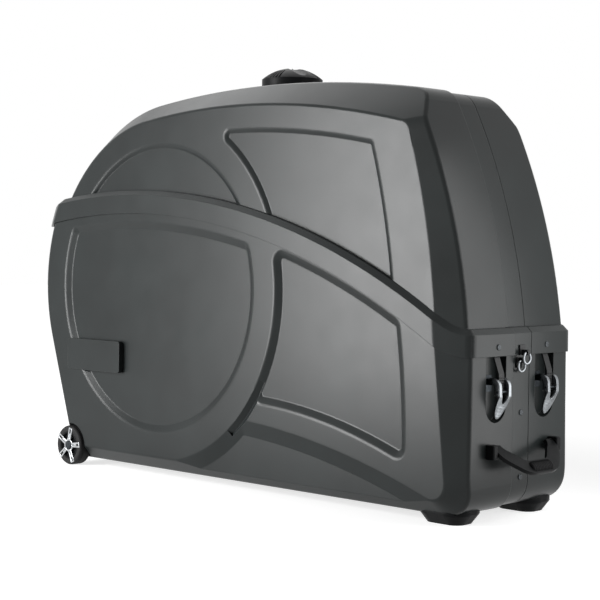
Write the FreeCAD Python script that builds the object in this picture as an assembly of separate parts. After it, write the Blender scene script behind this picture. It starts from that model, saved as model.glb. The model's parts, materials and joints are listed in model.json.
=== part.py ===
import FreeCAD, Part
import math
import os

Vec = FreeCAD.Vector
ALONG = Vec(1, 0, 0)
ACROSS = Vec(0, 1, 0)
UP = Vec(0, 0, 1)

# Frame: X runs along the case with the latched front end at +X, the near side is -Y, Z is up from the floor.

# The origin is under the middle of the whole case with its handle, this far ahead of the body's middle
box_middle_x = 9.85

# Moulded ring that the packed bicycle wheel fits inside, shown on both sides
ring_x = -255.0
ring_z = 442.0
ring_inner_r = 334.0
ring_outer_r = 400.0

# Sheet and fits
wall = 4.0
lap_gap = 0.2
rim_gap = 1.0
seat_gap = 0.3
edge_round = 9.0

# Base tub: the outer outline, and the smaller outline of its flat sides
base_half_width = 185.0
base_bottom_z = 24.0
base_front_x = 655.0
base_rear_r = 442.0
base_rear_corner_r = 70.0
base_front_corner_r = 52.0
base_side_bottom_z = 50.0
base_side_front_low_x = 618.0
base_side_front_high_x = 543.0
base_side_rear_r = 405.0
base_side_rear_corner_r = 45.0
base_side_front_corner_r = 32.0
base_open_z = 750.0
rear_upper_tangent = 150.0
rear_lower_tangent = 198.0
base_bevel_width = 35.0
base_bevel_rear = 40.0
base_bevel_bottom = 36.0
base_bevel_front_low = 66.0
base_bevel_front_high = 160.0

# Lid: the outer outline, and the smaller outline of its flat sides
lid_half_width = 170.0
lid_half_width_z = 700.0
lid_side_lean = 1.9
lid_rear_r = 430.0
lid_top_tangent = 97.5
lid_top_r = 2800.0
lid_front_low = (641.0, 400.0)
lid_front_high = (569.0, 700.0)
lid_front_r = 1250.0
lid_front_corner_r = 50.0
lid_side_rear_r = 392.0
lid_side_top_tangent = 98.0
lid_side_top_r = 2150.0
lid_side_front_low = (577.0, 440.0)
lid_side_front_high = (525.0, 695.0)
lid_side_front_r = 1600.0
lid_side_corner_r = 32.0
lid_bevel_width = 70.0
lid_bevel_over = 10.0
lid_bevel_front_low = (840.0, 400.0)
lid_bevel_front_high = (785.0, 690.0)
lid_bevel_corner_r = 60.0
lid_low_z = 290.0
lid_rear_start = 166.0

# Parting line: one long arc that sweeps down to a level front
parting_crest_x = -352.0
parting_crest_z = 659.0
parting_r = 1830.0
parting_front_z = 374.0
parting_blend_r = 100.0
parting_reach = 800.0
skirt_height = 43.0
skirt_proud = 5.0
skirt_round = 20.0
shoulder_rise = 11.0
shoulder_facing = 0.8
seat_drop = 4.0

# Centre joint between the half shells
near_seam_y = -28.0
far_seam_y = 30.0
strip_lap = 12.0
strip_tongue = 14.0
tongue_root = 8.0
seam_gap = 1.6
seam_groove_width = 3.0
seam_groove_depth = 2.0
past_middle = 60.0

# Latches, all alike: p is measured outwards from the shell's end and q upwards, both for a front latch
latch_y = 83.0
latch_rear_x = -669.0
latch_rear_rise = 262.0
pocket_half_width = 32.0
pocket_depth = 22.0
pocket_low_z = 201.0
strap_half_width = 8.5
strap_thickness = 3.0
strap_p = 10.0
strap_top_q = 366.0
strap_bend_q = 331.0
strap_knee_q = 297.0
strap_low_q = 258.0
strap_tab = 18.0
rib_height = 1.0
rib_pitch = 5.0
ear_inner_v = 9.5
ear_thickness = 2.5
pivot_p = 4.0
pivot_q = 281.0
pivot_r = 3.0
clamp_q = 263.0
clamp_r = 2.5
clamp_gap = 0.5
arm_inner_v = 12.4
arm_outer_v = 19.0
tongue_tip_v = 10.0
tongue_low_q = 208.0
tongue_lean = 18.0
tongue_thickness = 8.0
tongue_root_p = 13.0
toe_wall = 4.0
boss_r = 7.8
boss_slope = 1.2
knee_drop = 9.0
arm_low = 15.0
pin_gap = 0.05

# Rivets and screws
rivet_head_r = 6.0
rivet_head_h = 2.4
rivet_shank_r = 2.5
rivet_dome_share = 0.8
rivet_tail_share = 0.8
strip_rivet_y = 5.0
strip_rivet_heights = (215.0, 86.0)
strap_rivet_q = 349.0
strap_rivet_rear_z = 604.0

# Rear wheels
wheel_x = -561.0
wheel_r = 48.0
wheel_proud = 8.0
wheel_width = 36.0
hub_r = 34.0
axle_r = 6.0
well_gap = 6.0
housing_r = 16.0
housing_depth = 14.0
hub_setback = 2.0
hub_spokes = 5
hub_rim = 4.0
hub_window_at = 21.0
hub_window_r = 8.8
hub_face_inset = 4.0
tyre_round = 5.0
axle_cap = 2.0
axle_cap_r = 10.0
wheel_outer_y = base_half_width + wheel_proud

# Front feet
foot_x = 576.0
foot_y = 118.0
foot_length = 118.0
foot_width = 92.0
foot_taper = 16.0
foot_height = 46.0
foot_taper_z = 21.0
foot_corner_r = 38.0

# Carry handle on the front end
handle_y = 98.0
handle_z = 146.0
handle_p = 17.0
handle_droop = 43.0
handle_reach = 49.0
handle_strap_width = 20.0
handle_thickness = 9.0
grip_half_length = 34.0
grip_thickness = 20.0
grip_width = 26.0
grip_ribs = 6
grip_valley_share = 0.385
grip_round_share = 0.4
block_width = 14.0
block_height = 28.0
handle_pin_r = 3.5

# Padlock rings at the front, one on the lid and one on the base
ring_wire_r = 2.5
lock_ring_r = 11.0
eye_gap = 1.2
eye_wall = 1.8
lid_eye_y = -2.0
lid_eye_z = 336.0
base_eye_y = -5.0
base_eye_z = 320.0
base_eye_reach = 8.0
lid_eye_reach = 13.5
eye_plate_half = 9.0
eye_plate_length = 15.0
eye_plate_thickness = 3.0
eye_half_width = 4.0

# Plate on the near side
badge_rear_x = -571.0
badge_front_x = -372.0
badge_top_z = 312.0
badge_low_z = 237.0
badge_proud = 4.0
badge_round = 8.0

# Top knob
knob_x = 10.0
knob_r = 69.0
knob_skirt = 18.5
knob_height = 45.5
knob_lobes = 3
knob_lobe_turn = 37.0
knob_valley_r = 30.0
knob_valley_top = 44.0
knob_valley_edge = 22.0
knob_plate_r = 60.0
knob_plate_top_z = 900.0
knob_plate_depth = 48.0
stud_r = 6.0
stud_low_z = 830.0

# Pieces inside
rail_half_width = 19.0
rail_height = 16.0
rail_rear_x = -430.0
rail_front_x = 470.0
rail_slot = 12.0
rail_wall = 3.0
pole_r = 15.0
pole_wall = 2.5
pole_seat = 10.0
cup_r = 20.0
cup_low_z = 866.0
plug_length = 60.0
socket_r = 19.0
socket_height = 40.0
fork_x = 330.0
fork_height = 90.0
fork_width = 100.0
fork_tube_r = 10.0
fork_post = 30.0
fork_foot_thickness = 8.0
skewer_r = 4.5
nut_r = 12.0
nut_width = 12.0
cradle_x = -90.0
cradle_length = 80.0
cradle_height = 70.0
cradle_groove_r = 26.0
pad_thickness = 5.0

# Moulded recesses of the sides
base_recess_depth = 10.0
base_recess_slope = 16.0
base_recess_round = 6.0
base_recess_corner_r = 24.0
lid_recess_depth = 7.0
lid_recess_slope = 9.0
lid_recess_round = 4.0
lid_recess_corner_r = 15.0
rim_round = 14.0
rim_steps = 3
rim_run_out = 0.3
disc_drop = 63.0
panel_drop = 49.0
panel_low_rear = (40.0, 203.0)
panel_low_front = (560.0, 94.0)
panel_low_bow = 26.7
panel_front_low = (515.0, 110.0)
panel_front_high = (492.0, 420.0)
panel_front_bow = 7.0
step_rear = (0.0, 164.0)
step_front = (640.0, 27.0)
step_bow = 28.0
step_slope = 34.0
step_corner_r = 44.0
groove_width = 24.0
groove_from = -28.0
groove_to = -50.0
lid_panel_top_inset = 52.0
lid_panel_front_inset = 102.0
lid_panel_low_z = 250.0
far_r = 3000.0


def spot(x, z, y=0.0):
    return Vec(x, y, z)


def line(start, end):
    return Part.LineSegment(start, end).toShape()


def arc(start, middle, end):
    return Part.Arc(start, middle, end).toShape()


def on_circle(centre, radius, degrees):
    turn = math.radians(degrees)
    return centre + Vec(math.cos(turn), 0, math.sin(turn)) * radius


def angle_from(centre, point):
    return math.degrees(math.atan2(point.z - centre.z, point.x - centre.x))


def arc_about(centre, radius, start_angle, end_angle):
    middle_angle = (start_angle + end_angle) / 2
    return arc(on_circle(centre, radius, start_angle), on_circle(centre, radius, middle_angle),
               on_circle(centre, radius, end_angle))


def rounded_outline(corners):
    """Closed outline through (x, z, radius) corners, with a tangent arc at each corner that has a radius."""
    points = [spot(x, z) for x, z, radius in corners]
    ends = []
    for index, (x, z, radius) in enumerate(corners):
        here = points[index]
        back = (points[index - 1] - here).normalize()
        ahead = (points[(index + 1) % len(points)] - here).normalize()
        if radius == 0:
            ends.append((here, None, here))
            continue
        half_angle = back.getAngle(ahead) / 2
        inward = (back + ahead).normalize()
        centre = here + inward * (radius / math.sin(half_angle))
        cut = radius / math.tan(half_angle)
        ends.append((here + back * cut, centre - inward * radius, here + ahead * cut))
    edges = []
    for index, (start, middle, end) in enumerate(ends):
        if middle is not None:
            edges.append(arc(start, middle, end))
        edges.append(line(end, ends[(index + 1) % len(ends)][0]))
    return Part.Wire(edges)


def at_y(wire, y):
    copy = wire.copy()
    copy.translate(Vec(0, y, 0))
    return copy


def prism(wire, y_start, y_end):
    return Part.Face(at_y(wire, y_start)).extrude(Vec(0, y_end - y_start, 0))


def slab(y_start, y_end, reach=2000.0):
    return Part.makeBox(2 * reach, y_end - y_start, 2 * reach, Vec(-reach, y_start, -reach))


def one_solid(shape):
    solids = shape.Solids
    return max(solids, key=lambda solid: solid.Volume)


ring_centre = spot(ring_x, ring_z)


def base_outline(rear_r, bottom_z, front_low_x, front_high_x, rear_corner_r, front_corner_r):
    upper = on_circle(ring_centre, rear_r, rear_upper_tangent)
    lower = on_circle(ring_centre, rear_r, rear_lower_tangent)
    climb = (base_open_z - upper.z) / math.cos(math.radians(180 - rear_upper_tangent))
    top_rear = upper + Vec(math.sin(math.radians(rear_upper_tangent)), 0,
                           -math.cos(math.radians(rear_upper_tangent))) * climb
    turn = (rear_lower_tangent - rear_upper_tangent) / 2
    elbow = on_circle(ring_centre, rear_r / math.cos(math.radians(turn)), rear_upper_tangent + turn)
    fall = (lower.z - bottom_z) / math.cos(math.radians(rear_lower_tangent - 180))
    heel = lower + Vec(-math.sin(math.radians(rear_lower_tangent)), 0,
                       math.cos(math.radians(rear_lower_tangent))) * fall
    return rounded_outline([(top_rear.x, top_rear.z, 0), (elbow.x, elbow.z, rear_r),
                            (heel.x, heel.z, rear_corner_r), (front_low_x, bottom_z, front_corner_r),
                            (front_high_x, base_open_z, 0)])


def base_body(grow, side_grow):
    """Half of the solid outer form of the base, from the near side to past the middle."""
    ease = 0.4 * side_grow
    outer = base_outline(base_rear_r + grow, base_bottom_z - grow, base_front_x + grow, base_front_x + grow,
                         base_rear_corner_r + grow, base_front_corner_r + grow)
    side = base_outline(base_side_rear_r + ease, base_side_bottom_z - ease, base_side_front_low_x + ease,
                        base_side_front_high_x + ease, base_side_rear_corner_r + ease,
                        base_side_front_corner_r + ease)
    wide = ease + grow
    spread = base_outline(base_side_rear_r + base_bevel_rear + wide,
                          base_side_bottom_z - base_bevel_bottom - wide,
                          base_side_front_low_x + base_bevel_front_low + wide,
                          base_side_front_high_x + base_bevel_front_high + wide,
                          base_side_rear_corner_r + base_bevel_rear + wide,
                          base_side_front_corner_r + base_bevel_front_low + wide)
    side_y = -(base_half_width + side_grow)
    bevel = Part.makeLoft([at_y(side, side_y), at_y(spread, side_y + base_bevel_width)], True, True)
    middle = prism(spread, side_y + base_bevel_width, past_middle)
    cheek = bevel.fuse(middle)
    return one_solid(prism(outer, side_y - base_bevel_width, past_middle).common(cheek))


def soften(body, keep, radius):
    """Round the two creases of a body's bevel: round its flat side, and where the bevel meets the ends."""
    side_face = min(body.Faces, key=lambda face: face.CenterOfMass.y)
    back_face = max(body.Faces, key=lambda face: face.CenterOfMass.y)
    rim = side_face.Edges
    fixed = [vertex.Point for vertex in side_face.Vertexes + back_face.Vertexes]
    creases = []
    for edge in body.Edges:
        middle = edge.valueAt((edge.FirstParameter + edge.LastParameter) / 2)
        on_rim = any(edge.isSame(other) for other in rim)
        free = not any(vertex.Point.isEqual(point, 1e-4) for vertex in edge.Vertexes for point in fixed)
        if (on_rim or free) and keep(middle):
            creases.append(edge)
    return body.makeFillet(radius, creases)


def parting_edges(depth):
    """The parting line, lowered by a depth measured square to it, from behind the case to in front of it."""
    centre = spot(parting_crest_x, parting_crest_z - parting_r)
    radius = parting_r - depth
    blend_z = parting_front_z + parting_blend_r
    reach = parting_r + parting_blend_r
    blend_x = centre.x + math.sqrt(reach ** 2 - (blend_z - centre.z) ** 2)
    blend_centre = spot(blend_x, blend_z)
    meeting = angle_from(centre, blend_centre)
    blend_r = parting_blend_r + depth
    rear_angle = 180 - math.degrees(math.acos((-parting_reach - centre.x) / -radius))
    return [arc_about(centre, radius, rear_angle, meeting),
            arc_about(blend_centre, blend_r, meeting - 180, -90),
            line(spot(blend_x, parting_front_z - depth), spot(parting_reach, parting_front_z - depth))]


def parting_region(depth, end_z):
    """The sheet of the XZ plane between the lowered parting line and a level line."""
    edges = parting_edges(depth)
    start = edges[0].Vertexes[0].Point
    end = edges[-1].Vertexes[-1].Point
    corner = spot(end.x, end_z)
    other = spot(start.x, end_z)
    return Part.Face(Part.Wire(edges + [line(end, corner), line(corner, other), line(other, start)]))


def parting_block(depth, end_z):
    block = parting_region(depth, end_z).extrude(ACROSS * 2 * parting_reach)
    block.translate(ACROSS * -parting_reach)
    return block


def above_parting(depth):
    return parting_block(depth, parting_reach * 2)


def below_parting(depth):
    return parting_block(depth, -parting_reach)


def arc_centre(low, high, radius):
    """Centre of the arc of a radius through two (x, z) points that bulges forwards."""
    start = spot(*low)
    end = spot(*high)
    half = (end - start).Length / 2
    along = (end - start).normalize()
    inward = Vec(-along.z, 0, along.x)
    return (start + end) * 0.5 + inward * math.sqrt(radius ** 2 - half ** 2)


def front_meeting(first, first_r, second, second_r):
    """The meeting of two circles that lies furthest forward."""
    gap = second - first
    reach = gap.Length
    along = (first_r ** 2 - second_r ** 2 + reach ** 2) / (2 * reach)
    side = math.sqrt(first_r ** 2 - along ** 2)
    unit = gap * (1 / reach)
    across = Vec(-unit.z, 0, unit.x)
    options = [first + unit * along + across * side, first + unit * along - across * side]
    return max(options, key=lambda point: point.x)


def lid_outline(rear_r, top_tangent, top_r, front_low, front_high, front_r, corner_r, grow):
    top_centre = on_circle(ring_centre, top_r - rear_r, top_tangent + 180)
    front_centre = arc_centre(front_low, front_high, front_r)
    corner_centre = front_meeting(top_centre, top_r - corner_r, front_centre, front_r - corner_r)
    top_end = angle_from(top_centre, corner_centre)
    front_start = angle_from(front_centre, corner_centre)
    front_end = math.degrees(math.asin((lid_low_z - front_centre.z) / (front_r + grow)))
    rear = arc_about(ring_centre, rear_r + grow, lid_rear_start, top_tangent)
    front = arc_about(front_centre, front_r + grow, front_start, front_end)
    edges = [rear, arc_about(top_centre, top_r + grow, top_tangent, top_end),
             arc_about(corner_centre, corner_r + grow, top_end, front_start), front]
    edges.append(line(on_circle(front_centre, front_r + grow, front_end),
                      on_circle(ring_centre, rear_r + grow, lid_rear_start)))
    return Part.Wire(edges)


def lean_with_lid(shape):
    shape.rotate(spot(0, lid_half_width_z, -lid_half_width), ALONG, -lid_side_lean)
    return shape


def clear_of_lid_foot(point):
    """Whether a point lies above the line that closes the lid's outline inside the base."""
    rear = on_circle(ring_centre, lid_rear_r, lid_rear_start)
    front = spot(lid_front_low[0], lid_low_z)
    share = (front.x - point.x) / (front.x - rear.x)
    return point.z > front.z + share * (rear.z - front.z) + skirt_height / 2


def lid_body(grow, side_grow):
    """Half of the solid outer form of the lid, from the near side to past the middle."""
    ease = 0.4 * side_grow
    outer = lid_outline(lid_rear_r, lid_top_tangent, lid_top_r, lid_front_low, lid_front_high, lid_front_r,
                        lid_front_corner_r, grow)
    side = lid_outline(lid_side_rear_r, lid_side_top_tangent, lid_side_top_r, lid_side_front_low,
                       lid_side_front_high, lid_side_front_r, lid_side_corner_r, ease)
    spread = lid_outline(lid_rear_r + lid_bevel_over, lid_top_tangent, lid_top_r + lid_bevel_over,
                         lid_bevel_front_low, lid_bevel_front_high, lid_side_front_r, lid_bevel_corner_r,
                         grow + ease)
    side_y = -(lid_half_width + side_grow)
    spread_y = side_y + lid_bevel_width
    bevel = Part.makeLoft([lean_with_lid(at_y(side, side_y)), at_y(spread, spread_y)], True, True)
    cheek = bevel.fuse(prism(spread, spread_y, past_middle))
    return one_solid(prism(outer, side_y - lid_bevel_width, past_middle).common(cheek))


def meeting(first, first_r, second, second_r, near):
    """The meeting of two circles that lies nearest to a point."""
    gap = second - first
    reach = gap.Length
    along = (first_r ** 2 - second_r ** 2 + reach ** 2) / (2 * reach)
    side = math.sqrt(first_r ** 2 - along ** 2)
    unit = gap * (1 / reach)
    across = Vec(-unit.z, 0, unit.x) * side
    options = [first + unit * along + across, first + unit * along - across]
    return min(options, key=lambda point: point.distanceToPoint(near))


def arc_loop(sides, corner_r, inset):
    """Closed outline of arcs with rounded corners, listed anticlockwise and moved inwards by an inset.

    A side is (centre, radius, sign, end): sign is 1 where the field lies within the circle and -1 where it
    lies outside, and end is a point near the corner at which the side gives way to the next one.
    """
    corners = []
    for index, (centre, radius, sign, end) in enumerate(sides):
        other, other_r, other_sign, other_end = sides[(index + 1) % len(sides)]
        reach = radius - sign * corner_r
        other_reach = other_r - other_sign * corner_r
        corners.append(meeting(centre, reach, other, other_reach, end))
    edges = []
    for index, (centre, radius, sign, end) in enumerate(sides):
        start_angle = angle_from(centre, corners[index - 1])
        turn = (sign * (angle_from(centre, corners[index]) - start_angle)) % 360
        edges.append(arc_about(centre, radius - sign * inset, start_angle, start_angle + sign * turn))
        other, other_r, other_sign, other_end = sides[(index + 1) % len(sides)]
        leave = angle_from(centre, corners[index]) + (0 if sign > 0 else 180)
        arrive = angle_from(other, corners[index]) + (0 if other_sign > 0 else 180)
        edges.append(arc_about(corners[index], corner_r - inset, leave, leave + (arrive - leave) % 360))
    return Part.Wire(edges)


def bowed_centre(start, end, bow):
    """Centre and radius of the arc between two (x, z) points that bows up or forwards by a height."""
    first = spot(*start)
    last = spot(*end)
    half = (last - first).Length / 2
    radius = (half ** 2 + bow ** 2) / (2 * bow)
    along = (last - first).normalize()
    outward = Vec(-along.z, 0, along.x)
    return (first + last) * 0.5 - outward * (radius - bow), radius


def parting_centre():
    return spot(parting_crest_x, parting_crest_z - parting_r)


def recess_tool(outline, slope, depth, floor_round, half_width):
    """Solid that cuts a recess with sloped walls and a rounded rim and floor edge into the near side.

    The outline is given where the wall, made longer, would meet the side's surface.
    """
    steepness = math.atan2(depth, slope)
    lead = rim_round * math.tan(steepness / 2)
    levels = []
    for step in range(rim_steps + 1):
        turn = steepness * step / rim_steps
        levels.append((rim_round * math.sin(turn) - lead, rim_round * (1 - math.cos(turn))))
    (first_inset, first_drop), (second_inset, second_drop) = levels[:2]
    spread = (second_inset - first_inset) / (second_drop - first_drop)
    levels[0] = (first_inset - rim_run_out * spread, first_drop - rim_run_out)
    floor_start = slope + floor_round * math.tan(steepness / 2)
    for step in range(rim_steps + 1):
        turn = steepness * (1 - step / rim_steps)
        rise = floor_round * (1 - math.cos(turn))
        levels.append((floor_start - floor_round * math.sin(turn), depth - rise))
    wires = [at_y(outline(inset), drop - half_width) for inset, drop in levels]
    return Part.makeLoft(wires, True, True)


def base_disc_outline(inset):
    """The wheel's disc on the base, cut off below the skirt."""
    ring = (ring_centre, ring_inner_r, 1, on_circle(ring_centre, ring_inner_r, 20))
    top = (parting_centre(), parting_r - disc_drop, 1, on_circle(ring_centre, ring_inner_r, 160))
    return arc_loop([ring, top], base_recess_corner_r, inset)


def base_panel_outline(inset):
    """The large panel in front of the ring on the base's side."""
    low_centre, low_r = bowed_centre(panel_low_rear, panel_low_front, panel_low_bow)
    front_centre, front_r = bowed_centre(panel_front_high, panel_front_low, panel_front_bow)
    sides = [(low_centre, low_r, -1, spot(*panel_low_front)),
             (front_centre, front_r, 1, spot(*panel_front_high)),
             (parting_centre(), parting_r - panel_drop, 1, on_circle(ring_centre, ring_outer_r, 20)),
             (ring_centre, ring_outer_r, -1, spot(*panel_low_rear))]
    return arc_loop(sides, base_recess_corner_r, inset)


def base_step_outline(inset):
    """The stepped-in strip along the foot of the base's side, which runs out through the bottom edge."""
    top_centre, top_r = bowed_centre(step_rear, step_front, step_bow)
    rear_x = ring_x - ring_outer_r / 4
    under = -base_bottom_z * 4
    sides = [(spot(0, under + far_r), far_r, 1, spot(base_front_x, under)),
             (top_centre, top_r, 1, spot(*step_rear)),
             (ring_centre, ring_outer_r, -1, spot(rear_x, ring_z - ring_outer_r)),
             (spot(rear_x - far_r, 0), far_r, -1, spot(rear_x, under))]
    return arc_loop(sides, step_corner_r, inset)


def base_groove_tool():
    """V groove that parts the ring from the bar between the panel and the step."""
    lead = base_recess_depth / 2
    spare = groove_width / 2 * lead / base_recess_depth
    surface_y = -base_half_width - lead
    points = [Vec(ring_outer_r - spare, surface_y, 0),
              Vec(ring_outer_r + groove_width + spare, surface_y, 0),
              Vec(ring_outer_r + groove_width / 2, base_recess_depth - base_half_width, 0)]
    section = Part.Face(Part.makePolygon(points + points[:1]))
    section.rotate(Vec(0, 0, 0), ACROSS, -groove_from)
    section.translate(ring_centre)
    return section.revolve(ring_centre, ACROSS, groove_from - groove_to)


def base_recess(outline, slope):
    return recess_tool(outline, slope, base_recess_depth, base_recess_round, base_half_width)


def base_tools():
    return [base_recess(base_disc_outline, base_recess_slope),
            base_recess(base_panel_outline, base_recess_slope),
            base_recess(base_step_outline, step_slope), base_groove_tool()]


def lid_disc_outline(inset):
    return Part.Wire(Part.makeCircle(ring_inner_r - inset, ring_centre, ACROSS))


def lid_panel_outline(inset):
    """The lid's large panel, which runs on down behind the skirt."""
    top_centre = on_circle(ring_centre, lid_side_top_r - lid_side_rear_r, lid_side_top_tangent + 180)
    front_centre = arc_centre(lid_side_front_low, lid_side_front_high, lid_side_front_r)
    front_centre = front_centre - ALONG * lid_panel_front_inset
    top_r = lid_side_top_r - lid_panel_top_inset
    sides = [(spot(0, lid_panel_low_z + far_r), far_r, 1, spot(base_front_x, lid_panel_low_z)),
             (front_centre, lid_side_front_r, 1, spot(*lid_side_front_high)),
             (top_centre, top_r, 1, on_circle(ring_centre, ring_outer_r, 60)),
             (ring_centre, ring_outer_r, -1, spot(ring_x + ring_outer_r, lid_panel_low_z))]
    return arc_loop(sides, lid_recess_corner_r, inset)


def lid_tools():
    tools = [recess_tool(outline, lid_recess_slope, lid_recess_depth, lid_recess_round, lid_half_width)
             for outline in (lid_disc_outline, lid_panel_outline)]
    return [lean_with_lid(tool) for tool in tools]


def moved(shape, offset):
    copy = shape.copy()
    copy.translate(offset)
    return copy


def far_side(shape):
    return shape.mirror(Vec(0, 0, 0), ACROSS)


def box(x_start, x_end, y_start, y_end, z_start, z_end):
    return Part.makeBox(x_end - x_start, y_end - y_start, z_end - z_start, Vec(x_start, y_start, z_start))


def rod(start, axis, radius, length):
    return Part.makeCylinder(radius, length, start, axis)


def plate(points, y_start, y_end):
    """A flat piece from its (x, z) corners, standing between two widths."""
    corners = [Vec(x, y_start, z) for x, z in points]
    return Part.Face(Part.makePolygon(corners + corners[:1])).extrude(Vec(0, y_end - y_start, 0))


def carve(body, tools):
    """Cut the recesses into a body's flat side."""
    return one_solid(body.cut(tools))


def pocket(grow):
    """Room for one front latch at the near side, open at the top and to the front."""
    half = pocket_half_width + grow
    low_z = pocket_low_z + pocket_half_width
    floor_x = -pocket_depth - grow
    reach = base_front_x
    slot = box(floor_x, reach, -latch_y - half, -latch_y + half, low_z, base_open_z)
    return slot.fuse(rod(Vec(floor_x, -latch_y, low_z), ALONG, half, reach - floor_x))


def at_front(shape, shift):
    return moved(shape, ALONG * (base_front_x + shift))


def at_rear(shape, shift):
    turned = shape.mirror(Vec(0, 0, 0), ALONG)
    turned.translate(Vec(latch_rear_x - shift, 0, latch_rear_rise))
    return turned


def well_inner_y():
    return wheel_width + well_gap / 2 - wheel_outer_y


def wheel_well(grow):
    radius = wheel_r + well_gap + grow
    return rod(Vec(wheel_x, well_inner_y() + grow, wheel_r), -ACROSS, radius, base_half_width)


def base_hollows(grow, shift):
    """Latch pockets and wheel well of a half shell that stands out by a shift."""
    return [at_front(pocket(grow), shift), at_rear(pocket(grow), shift), wheel_well(grow)]


def below_opening(point):
    return point.z < base_open_z - 1


def base_tub(grow):
    """Near half of the base's outer form, past the middle, with its recesses."""
    return carve(soften(base_body(grow, 0), below_opening, edge_round), base_tools())


def base_shell(grow):
    """Near half of the tub, past the middle, with its recesses, latch pockets and wheel well."""
    tub = base_tub(grow).cut(base_hollows(0, grow) + [wheel_axle(-wheel_outer_y)])
    keep = [moved(tool, ACROSS * wall) for tool in base_tools()] + base_hollows(wall, grow)
    room = base_body(grow - wall, -wall).cut(keep)
    return one_solid(tub.cut(room).common(below_parting(seat_drop + seat_gap)))


def skirt_band(grow):
    """The lid's skirt and shoulder, not yet hollow."""
    body = soften(base_body(grow + skirt_proud, skirt_proud), below_opening, skirt_round)
    block = one_solid(body.common(below_parting(-shoulder_rise)).common(above_parting(skirt_height)))
    tops = []
    for face in block.Faces:
        u, v = face.Surface.parameter(face.CenterOfMass)
        if face.normalAt(u, v).z > shoulder_facing:
            tops.append(face)
    count = {}
    for face in tops:
        for edge in face.Edges:
            count.setdefault(edge.hashCode(), []).append(edge)
    rims = [edges[0] for edges in count.values() if len(edges) == 1]
    rims = [edge for edge in rims if edge.CenterOfMass.y < past_middle - 1]
    return block.makeChamfer(shoulder_rise, rims)


def rim_room(grow):
    """Space inside the skirt that the base's rim stands in."""
    return base_body(grow + rim_gap, rim_gap).common(below_parting(seat_drop))


def lid_shell(grow):
    """Near half of the lid, past the middle, with its recesses, shoulder and skirt."""
    tools = lid_tools()
    dome = carve(soften(lid_body(grow, 0), clear_of_lid_foot, edge_round), tools)
    dome = dome.common(above_parting(seat_drop))
    room = lid_body(grow - wall, -wall).cut([moved(tool, ACROSS * wall) for tool in tools])
    return one_solid(dome.fuse(skirt_band(grow)).cut([room, rim_room(grow)]))


def centre_strip(shell, form, limit, skins):
    """The strip that joins two half shells: one edge lies under the near half, a tongue under the far one.

    A shallow groove in its face runs beside the near half's edge.
    """
    strip = shell.common(slab(near_seam_y - strip_lap, far_seam_y))
    strip = strip.cut(slab(near_seam_y, near_seam_y + seam_groove_width).cut(skins))
    inner = form(-2 * wall - lap_gap, 0)
    root = form(-wall, 0).cut(inner).common(slab(far_seam_y - tongue_root, far_seam_y))
    tongue = form(-wall - lap_gap, 0).cut(inner).common(slab(far_seam_y, far_seam_y + strip_tongue))
    return one_solid(strip.fuse([root.common(limit), tongue.common(limit)]).removeSplitter())


def rivet(point, outward, grip):
    """A domed rivet whose head sits on a point and whose tail closes the grip."""
    head = rod(point, outward, rivet_head_r, rivet_head_h)
    rim = [edge for edge in head.Edges if edge.Length > 1 and isinstance(edge.Curve, Part.Circle)
           and (edge.Curve.Center - point).dot(outward) > rivet_head_h / 2]
    head = head.makeFillet(rivet_head_h * rivet_dome_share, rim)
    shank = rod(point, -outward, rivet_shank_r, grip)
    tail = rod(point - outward * grip, -outward, rivet_head_r * rivet_tail_share, rivet_head_h / 2)
    return head.fuse([shank, tail])


def rivet_hole(point, outward, grip):
    return rod(point + outward, -outward, rivet_shank_r, grip + 2)


# The latch's own pieces are modelled for the front near latch, with p along X and q along Z
def strap_front(drop_points):
    """A ribbed strap from its outer face's (p, q) points, top to bottom."""
    outer = drop_points
    inner = [(p - strap_thickness, q) for p, q in reversed(drop_points)]
    strap = plate(outer + inner, -latch_y - strap_half_width, -latch_y + strap_half_width)
    low = drop_points[-1]
    ribs = []
    count = int((drop_points[-2][1] - low[1]) / rib_pitch)
    for index in range(count):
        q = low[1] + rib_pitch * (index + 0.5)
        corners = [(low[0] - strap_thickness / 2, q - rib_pitch / 3), (low[0], q - rib_pitch / 3),
                   (low[0] + rib_height, q), (low[0], q + rib_pitch / 3),
                   (low[0] - strap_thickness / 2, q + rib_pitch / 3)]
        ribs.append(plate(corners, -latch_y - strap_half_width, -latch_y + strap_half_width))
    return one_solid(strap.fuse(ribs))


def front_strap():
    face_p = strap_p + strap_thickness
    tab_p = rim_gap - seat_gap
    return strap_front([(tab_p, strap_top_q), (tab_p, strap_bend_q), (face_p, strap_knee_q),
                        (face_p, strap_low_q)])


def rear_strap():
    face_p = strap_p + strap_thickness
    tab_r = base_rear_r + rim_gap - seat_gap

    def on_rear(z):
        x = ring_x - math.sqrt(tab_r ** 2 - (z - ring_z) ** 2)
        return (latch_rear_x - x, z - latch_rear_rise)

    return strap_front([on_rear(strap_rivet_rear_z + strap_tab), on_rear(strap_rivet_rear_z - strap_tab),
                        (face_p, strap_knee_q), (face_p, strap_low_q)])


def clamp_p():
    return strap_p + strap_thickness + rib_height + clamp_gap + clamp_r


def latch_bracket():
    foot = box(-pocket_depth, -pocket_depth + ear_thickness, -latch_y - arm_inner_v, -latch_y + arm_inner_v,
               pivot_q - 20, pivot_q + 12)
    ears = []
    for side in (-1, 1):
        y = -latch_y + side * (ear_inner_v + ear_thickness / 2) - ear_thickness / 2
        ears.append(box(-pocket_depth, pivot_p, y, y + ear_thickness, pivot_q - 2 * pivot_r,
                        pivot_q + 2 * pivot_r))
        ears.append(rod(Vec(pivot_p, y, pivot_q), ACROSS, 2 * pivot_r, ear_thickness))
    return one_solid(foot.fuse(ears).cut(pivot_pin(pin_gap)))


def pivot_pin(grow):
    return rod(Vec(pivot_p, -latch_y - arm_outer_v - grow, pivot_q), ACROSS, pivot_r + grow,
               2 * (arm_outer_v + grow))


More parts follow.
